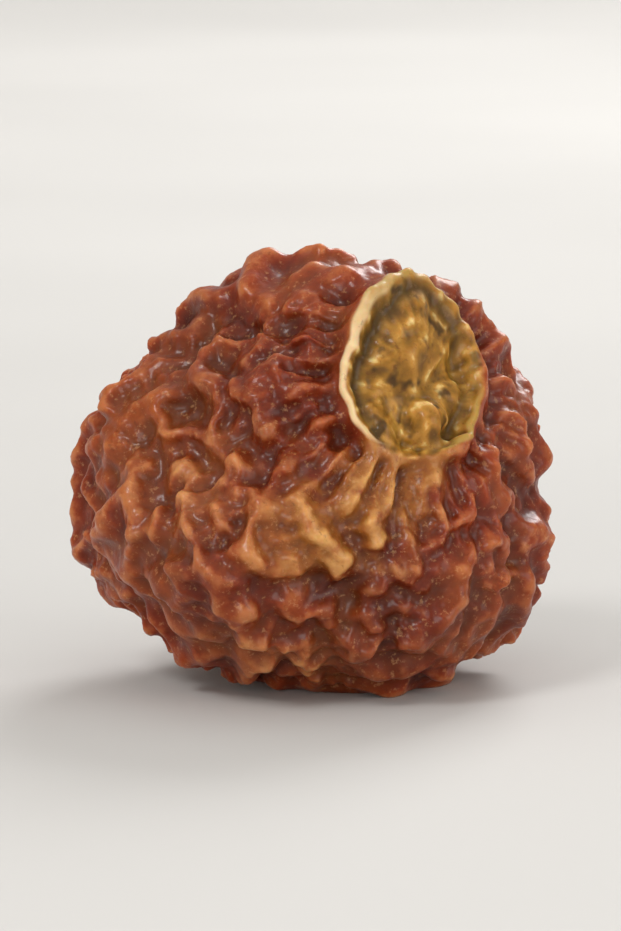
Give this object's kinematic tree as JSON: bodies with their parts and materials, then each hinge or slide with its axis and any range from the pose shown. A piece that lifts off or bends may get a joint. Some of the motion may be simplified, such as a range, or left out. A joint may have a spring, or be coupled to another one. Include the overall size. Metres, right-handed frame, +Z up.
{
  "type": "dried physalis berry",
  "caption": "Round dried fruit with short buckled ridges over its whole skin, a raised round stem scar and a small flat spot to rest on.",
  "frame": {"origin": "on the surface that the berry rests on, under the middle of the berry", "axes": "+Z up; +X to the viewer's right along the berry's longest way across; the viewer looks along +Y; the stem scar faces right, towards the viewer and up"},
  "size_m": [0.014, 0.013, 0.0128],
  "materials": {
    "berry_skin": "sticky satin dried fruit skin: orange-brown ridges, dark red-brown valleys, a golden stem scar with a pale rim"
  },
  "bodies": {
    "root": {"berry": "berry_skin"}
  },
  "joints": []
}
